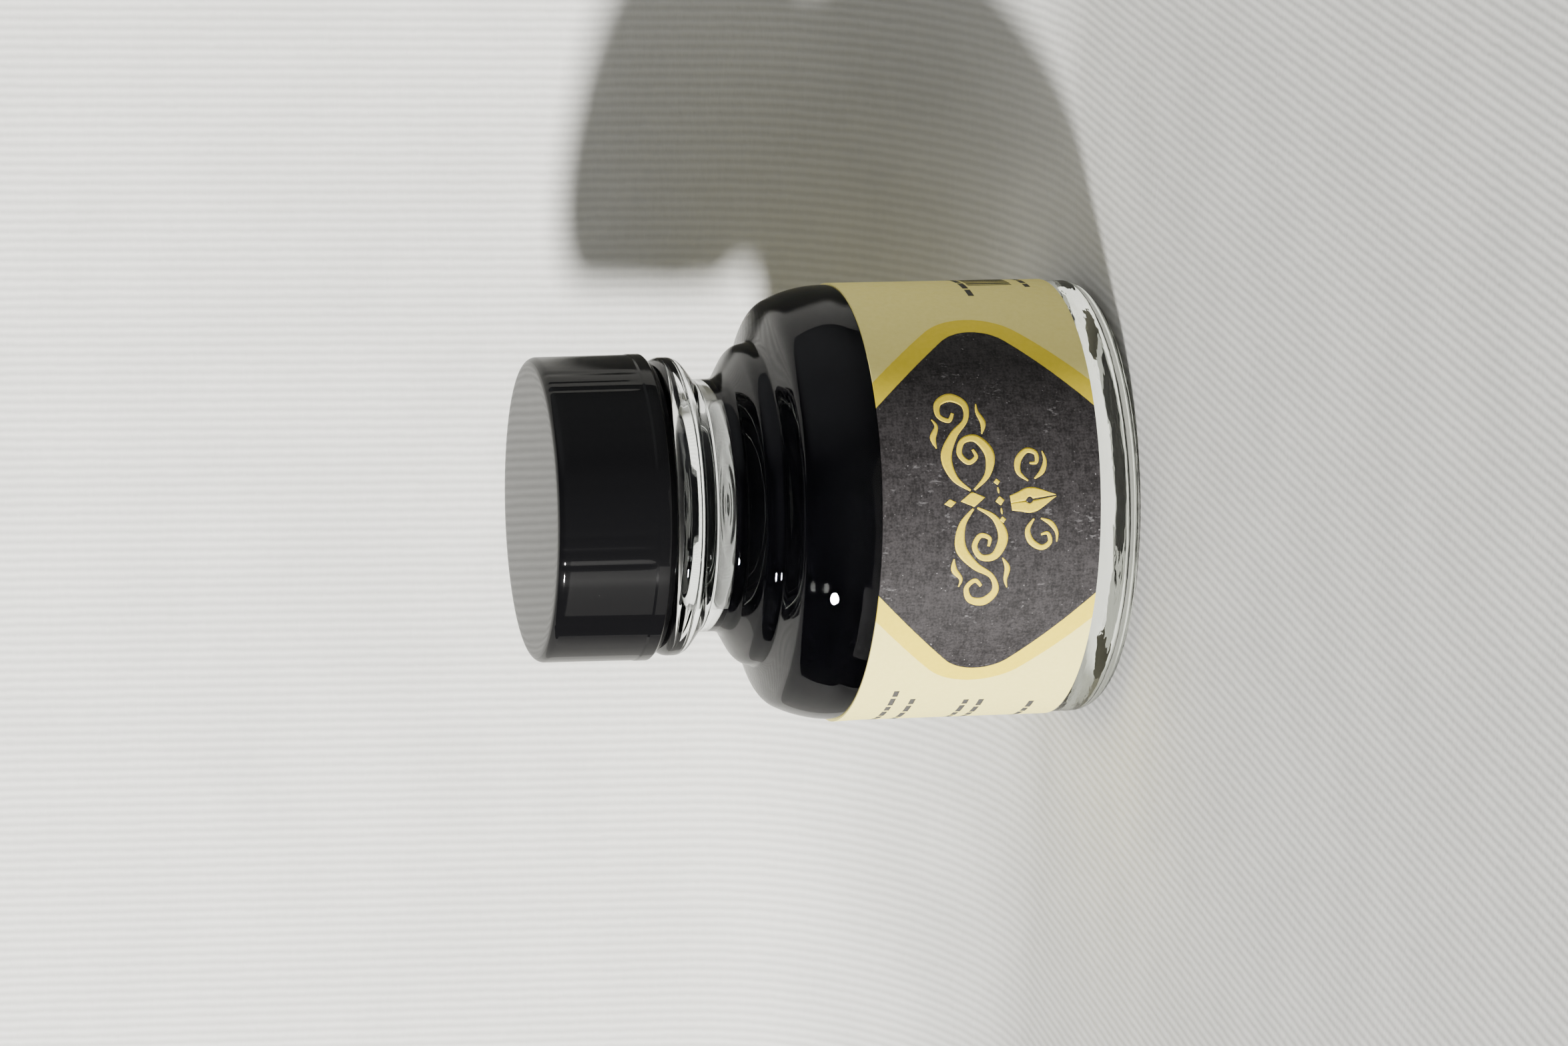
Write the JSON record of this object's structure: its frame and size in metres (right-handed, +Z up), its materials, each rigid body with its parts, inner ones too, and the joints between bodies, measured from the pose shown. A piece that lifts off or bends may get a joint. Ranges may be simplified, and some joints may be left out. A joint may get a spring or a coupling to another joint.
{
  "type": "ink bottle",
  "caption": "Squat round glass bottle of black drawing ink with a smooth black screw cap that seals a threaded neck.",
  "frame": {"origin": "on the bottle's axis, at the surface it stands on", "axes": "+Z up along the axis, -Y towards the middle of the label"},
  "size_m": [0.0448, 0.0446, 0.058],
  "materials": {
    "clear_glass": "clear, glossy",
    "black_ink": "liquid, opaque black",
    "label_paper": "coated paper with a dark slate panel and gold print",
    "liner_board": "pulp board faced with white film",
    "black_plastic": "glossy, moulded"
  },
  "bodies": {
    "bottle": {"glass_bottle": "clear_glass", "ink_fill": "black_ink", "wrap_label": "label_paper"},
    "liner": {"cap_liner": "liner_board"},
    "cap": {"screw_cap": "black_plastic"}
  },
  "joints": [
    {"name": "cap_lift", "type": "slide", "parent": "bottle", "child": "liner", "axis": [0, 0, 1], "range_m": [0, 0.0212]},
    {"name": "cap_turn", "type": "hinge", "parent": "liner", "child": "cap", "pos_m": [0, 0, 0.0519], "axis": [0, 0, 1], "range_deg": [0, 1800]}
  ],
  "couplings": [
    {"joint": "cap_lift", "follows": "cap_turn", "m_per_rad": 0.00067375}
  ]
}
